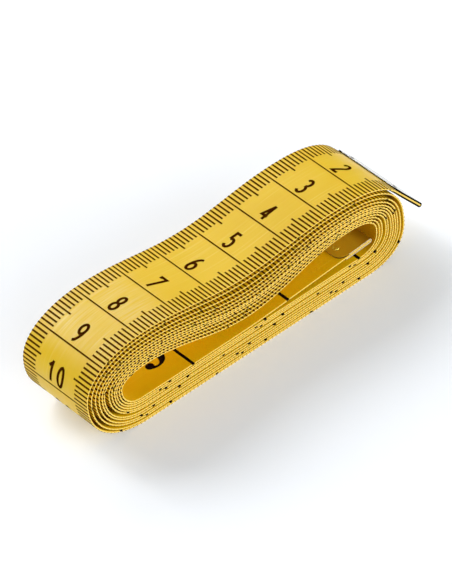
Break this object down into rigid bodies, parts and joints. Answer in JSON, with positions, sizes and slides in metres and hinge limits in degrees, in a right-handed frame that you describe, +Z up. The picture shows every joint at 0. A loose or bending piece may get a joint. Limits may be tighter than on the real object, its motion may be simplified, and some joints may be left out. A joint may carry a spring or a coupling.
{
  "type": "cloth tape measure",
  "caption": "Flexible sewing tape measure wound flat into a long oval roll, with a printed scale and a folded, riveted metal tip on each end.",
  "frame": {"origin": "centre of the flat face that the outermost layer rests on", "axes": "+X along the roll towards the free outer end, +Y across the tape away from the viewer, +Z up"},
  "size_m": [0.0895, 0.02, 0.0229],
  "materials": {
    "tape": "yellow vinyl coating over woven cloth, semi-matte, with fine lengthwise thread lines and a dark brown printed scale",
    "tip": "thin bright-plated sheet steel, folded round the end of the tape",
    "rivet": "small plated steel rivets with low domed heads"
  },
  "bodies": {
    "roll": {"tape_coil": "tape"},
    "outer_end": {"tape_outer_end": "tape", "outer_end_tip": "tip", "outer_rivet_near": "rivet", "outer_rivet_far": "rivet"},
    "inner_end": {"tape_inner_end": "tape", "inner_end_tip": "tip", "inner_rivet_near": "rivet", "inner_rivet_far": "rivet"}
  },
  "joints": [
    {"name": "outer_end_lift", "type": "hinge", "parent": "roll", "child": "outer_end", "pos_m": [0.03902, 0, 0.01701], "axis": [0, -1, 0], "range_deg": [-3, 90], "stiffness_Nm_per_rad": 0.02},
    {"name": "inner_end_lift", "type": "hinge", "parent": "roll", "child": "inner_end", "pos_m": [-0.00104, 0, 0.00658], "axis": [0, -1, 0], "range_deg": [-1, 5], "stiffness_Nm_per_rad": 0.03, "springref_deg": 0.57}
  ]
}
